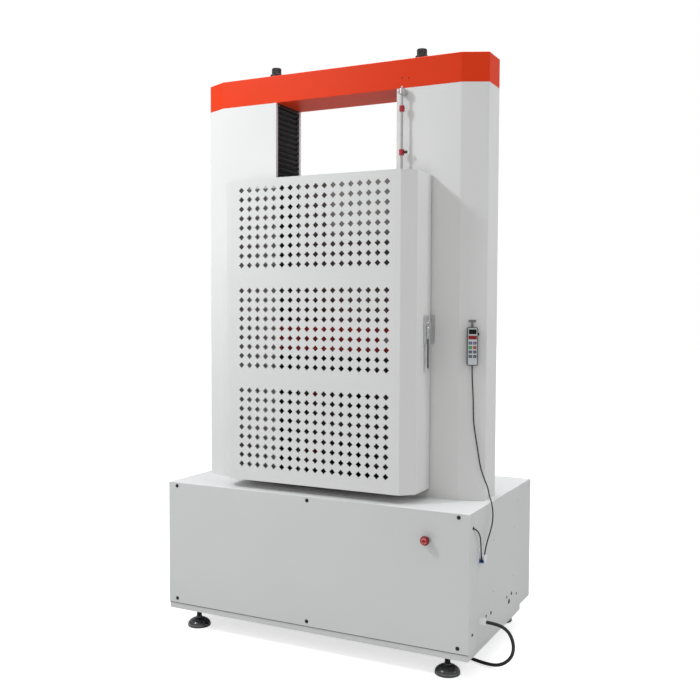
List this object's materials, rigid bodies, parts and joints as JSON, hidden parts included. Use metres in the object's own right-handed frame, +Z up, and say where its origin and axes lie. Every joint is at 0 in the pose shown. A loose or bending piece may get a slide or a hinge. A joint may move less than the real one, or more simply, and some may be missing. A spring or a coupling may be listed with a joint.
{
  "type": "universal testing machine",
  "caption": "Floor-standing materials testing machine: cabinet base, covered columns, top beam, moving crosshead with wedge grips, and a hinged perforated guard door.",
  "frame": {"origin": "on the floor, under the middle of the machine's plan", "axes": "+Z up, -Y towards the guard door and the person using it, +X to that person's right"},
  "size_m": [1.614, 0.906, 2.619],
  "materials": {
    "panel_paint": "light grey powder coat",
    "cover_paint": "light grey powder coat",
    "table_paint": "light grey powder coat",
    "chassis_paint": "light grey paint",
    "guard_grey": "dark grey paint",
    "handset_silver": "silver-grey face sheet",
    "red_paint": "orange-red semi-gloss paint",
    "bright_steel": "ground and hard-chromed steel",
    "black_steel": "black oxide",
    "jaw_steel": "hardened steel with a diamond-cut face",
    "chrome": "polished",
    "aluminium": "satin",
    "foot_black": "glossy moulded black",
    "bellows_cloth": "coated black fabric in fine pleats",
    "red_plastic": "glossy red",
    "black_plastic": "matt black",
    "handset_grey": "dark grey moulding",
    "clip_white": "translucent white and pale blue",
    "gland_white": "white nylon",
    "cable_black": "black cable sheath",
    "cord_grey": "dark cord sheath",
    "belt_rubber": "black toothed belt"
  },
  "bodies": {
    "frame": {"chassis": "chassis_paint", "levelling_feet": "foot_black", "base_table": "table_paint", "front_panel": "panel_paint", "right_panel": "panel_paint", "left_panel": "panel_paint", "rear_panel": "panel_paint", "right_column_cover": "cover_paint", "left_column_cover": "cover_paint", "guide_columns": "bright_steel", "top_beam": "red_paint", "column_screws": "black_steel", "screw_bearings": "bright_steel", "servo_motor": "black_steel", "drive_belt": "belt_rubber", "drive_unit": "aluminium", "lower_adapter": "black_steel", "lower_grip_body": "black_steel", "upper_bellows": "bellows_cloth", "lower_bellows": "bellows_cloth", "rod_brackets": "aluminium", "column_hinges": "bright_steel", "latch_keeper": "chrome", "rear_guard": "guard_grey", "estop_collar": "black_plastic", "handset_hook": "aluminium", "handset_case": "handset_grey", "handset_face": "handset_silver", "cable_clip": "clip_white", "mains_gland": "gland_white", "mains_coil": "cable_black", "mains_plug": "black_plastic", "mains_tube": "cable_black", "handset_tube": "cord_grey"},
    "crosshead": {"crosshead": "red_paint", "crosshead_inserts": "bright_steel", "load_cell": "black_steel", "upper_adapter": "black_steel", "upper_grip_body": "black_steel", "limit_arm": "aluminium"},
    "left_screw": {"left_ball_screw": "bright_steel"},
    "right_screw": {"right_ball_screw": "bright_steel"},
    "motor_pulley": {"motor_pulley": "aluminium"},
    "upper_jaw_right": {"upper_jaw_right": "jaw_steel"},
    "upper_jaw_left": {"upper_jaw_left": "jaw_steel"},
    "upper_lever": {"upper_grip_lever": "red_plastic"},
    "lower_jaw_right": {"lower_jaw_right": "jaw_steel"},
    "lower_jaw_left": {"lower_jaw_left": "jaw_steel"},
    "lower_lever": {"lower_grip_lever": "red_plastic"},
    "limit_rod": {"limit_rod": "bright_steel"},
    "upper_collar": {"upper_collar": "red_plastic"},
    "lower_collar": {"lower_collar": "red_plastic"},
    "door": {"door_panel": "cover_paint", "door_frame": "cover_paint", "door_hinges": "bright_steel", "latch_body": "chrome"},
    "handle": {"handle_lever": "chrome"},
    "estop_stem": {"estop_stem": "black_plastic"},
    "estop_head": {"estop_head": "red_plastic"},
    "jog_knob": {"jog_knob": "black_plastic"}
  },
  "joints": [
    {"name": "crosshead_travel", "type": "slide", "parent": "frame", "child": "crosshead", "axis": [0, 0, 1], "range_m": [-0.08, 0.55], "deforming": ["upper_bellows", "lower_bellows"]},
    {"name": "left_screw_spin", "type": "hinge", "parent": "frame", "child": "left_screw", "pos_m": [-0.53, -0.061, 0.68], "axis": [0, 0, 1], "continuous": true},
    {"name": "right_screw_spin", "type": "hinge", "parent": "frame", "child": "right_screw", "pos_m": [0.53, -0.061, 0.68], "axis": [0, 0, 1], "continuous": true},
    {"name": "motor_spin", "type": "hinge", "parent": "frame", "child": "motor_pulley", "pos_m": [0, 0.159, 0.545], "axis": [0, 0, 1], "continuous": true},
    {"name": "upper_jaw_right_slide", "type": "slide", "parent": "crosshead", "child": "upper_jaw_right", "axis": [0.2079, 0, 0.9781], "range_m": [-0.022, 0.018]},
    {"name": "upper_jaw_left_slide", "type": "slide", "parent": "crosshead", "child": "upper_jaw_left", "axis": [-0.2079, 0, 0.9781], "range_m": [-0.022, 0.018]},
    {"name": "upper_lever_turn", "type": "hinge", "parent": "crosshead", "child": "upper_lever", "pos_m": [-0.056, -0.118, 1.153], "axis": [0, -1, 0], "range_deg": [-32, 26]},
    {"name": "lower_jaw_right_slide", "type": "slide", "parent": "frame", "child": "lower_jaw_right", "axis": [0.2079, 0, -0.9781], "range_m": [-0.022, 0.018]},
    {"name": "lower_jaw_left_slide", "type": "slide", "parent": "frame", "child": "lower_jaw_left", "axis": [-0.2079, 0, -0.9781], "range_m": [-0.022, 0.018]},
    {"name": "lower_lever_turn", "type": "hinge", "parent": "frame", "child": "lower_lever", "pos_m": [-0.056, -0.118, 0.767], "axis": [0, 1, 0], "range_deg": [-32, 26]},
    {"name": "limit_rod_trip", "type": "slide", "parent": "frame", "child": "limit_rod", "axis": [0, 0, 1], "range_m": [-0.006, 0.006], "stiffness_N_per_m": 4000, "springref_m": 0.0031},
    {"name": "upper_collar_set", "type": "slide", "parent": "limit_rod", "child": "upper_collar", "axis": [0, 0, 1], "range_m": [-0.2, 0.1]},
    {"name": "lower_collar_set", "type": "slide", "parent": "limit_rod", "child": "lower_collar", "axis": [0, 0, 1], "range_m": [-0.1, 0.25]},
    {"name": "door_hinge", "type": "hinge", "parent": "frame", "child": "door", "pos_m": [-0.477, -0.186, 1.388], "axis": [0, 0, -1], "range_deg": [0, 95]},
    {"name": "handle_turn", "type": "hinge", "parent": "door", "child": "handle", "pos_m": [0.4858, -0.242, 1.428], "axis": [0, -1, 0], "range_deg": [0, 75]},
    {"name": "estop_push", "type": "slide", "parent": "frame", "child": "estop_stem", "axis": [0, 1, 0], "range_m": [0, 0.006], "stiffness_N_per_m": 1500},
    {"name": "estop_twist", "type": "hinge", "parent": "estop_stem", "child": "estop_head", "pos_m": [0.555, -0.453, 0.562], "axis": [0, 1, 0], "range_deg": [0, 45], "stiffness_Nm_per_rad": 0.3},
    {"name": "jog_knob_turn", "type": "hinge", "parent": "frame", "child": "jog_knob", "pos_m": [0.67183, -0.15658, 1.3845], "axis": [0.911, 0.4125, 0], "continuous": true}
  ],
  "couplings": [
    {"joint": "left_screw_spin", "follows": "crosshead_travel", "rad_per_m": -314.16},
    {"joint": "right_screw_spin", "follows": "crosshead_travel", "rad_per_m": -314.16},
    {"joint": "motor_spin", "follows": "crosshead_travel", "rad_per_m": -628.32},
    {"joint": "upper_jaw_left_slide", "follows": "upper_jaw_right_slide", "ratio": 1},
    {"joint": "upper_lever_turn", "follows": "upper_jaw_right_slide", "rad_per_m": 25},
    {"joint": "lower_jaw_left_slide", "follows": "lower_jaw_right_slide", "ratio": 1},
    {"joint": "lower_lever_turn", "follows": "lower_jaw_right_slide", "rad_per_m": 25}
  ]
}
